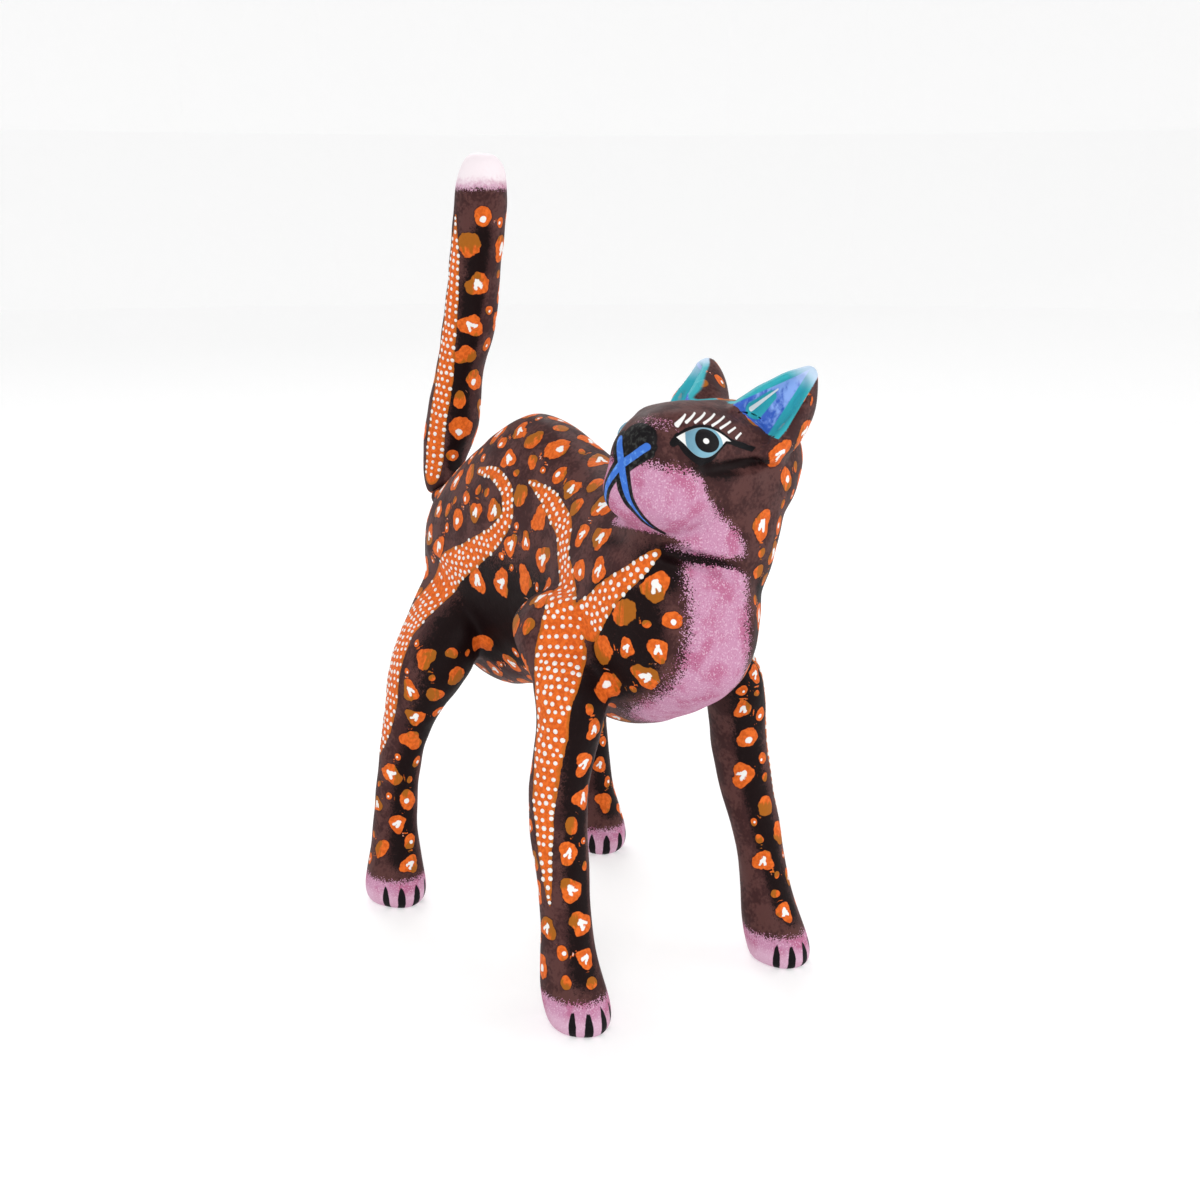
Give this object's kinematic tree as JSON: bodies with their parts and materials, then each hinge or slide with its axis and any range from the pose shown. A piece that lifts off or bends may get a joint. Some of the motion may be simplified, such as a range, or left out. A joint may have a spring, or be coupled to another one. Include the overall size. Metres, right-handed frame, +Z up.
{
  "type": "carved cat figure",
  "caption": "Hand-carved wooden cat, standing and looking over its right shoulder, painted with spots and dotted bands, with a tail that turns and pulls off.",
  "frame": {"origin": "centre of the bounding box in plan, on the plane the soles stand on", "axes": "+Z up; the body's length lies along Y with the chest towards -Y; the cat's own right side is -X, and its head looks towards -X"},
  "size_m": [0.0842, 0.1448, 0.2029],
  "materials": {
    "painted_copal": "matte acrylic paint on carved copal wood",
    "ear_paint": "matte acrylic paint on carved copal wood",
    "dowel": "bare wood"
  },
  "bodies": {
    "figure": {"trunk": "painted_copal", "front_left_leg": "painted_copal", "front_right_leg": "painted_copal", "rear_left_leg": "painted_copal", "rear_right_leg": "painted_copal", "front_left_leg_peg": "dowel", "front_right_leg_peg": "dowel", "rear_left_leg_peg": "dowel", "rear_right_leg_peg": "dowel", "left_ear": "ear_paint", "right_ear": "ear_paint"},
    "tail_pin": {"tail_peg": "dowel"},
    "tail": {"tail": "painted_copal"}
  },
  "joints": [
    {"name": "tail_pull", "type": "slide", "parent": "figure", "child": "tail_pin", "axis": [0, 0.5, 0.866], "range_m": [0, 0.013]},
    {"name": "tail_turn", "type": "hinge", "parent": "tail_pin", "child": "tail", "pos_m": [0, 0.063, 0.1095], "axis": [0, 0.5, 0.866], "continuous": true}
  ]
}
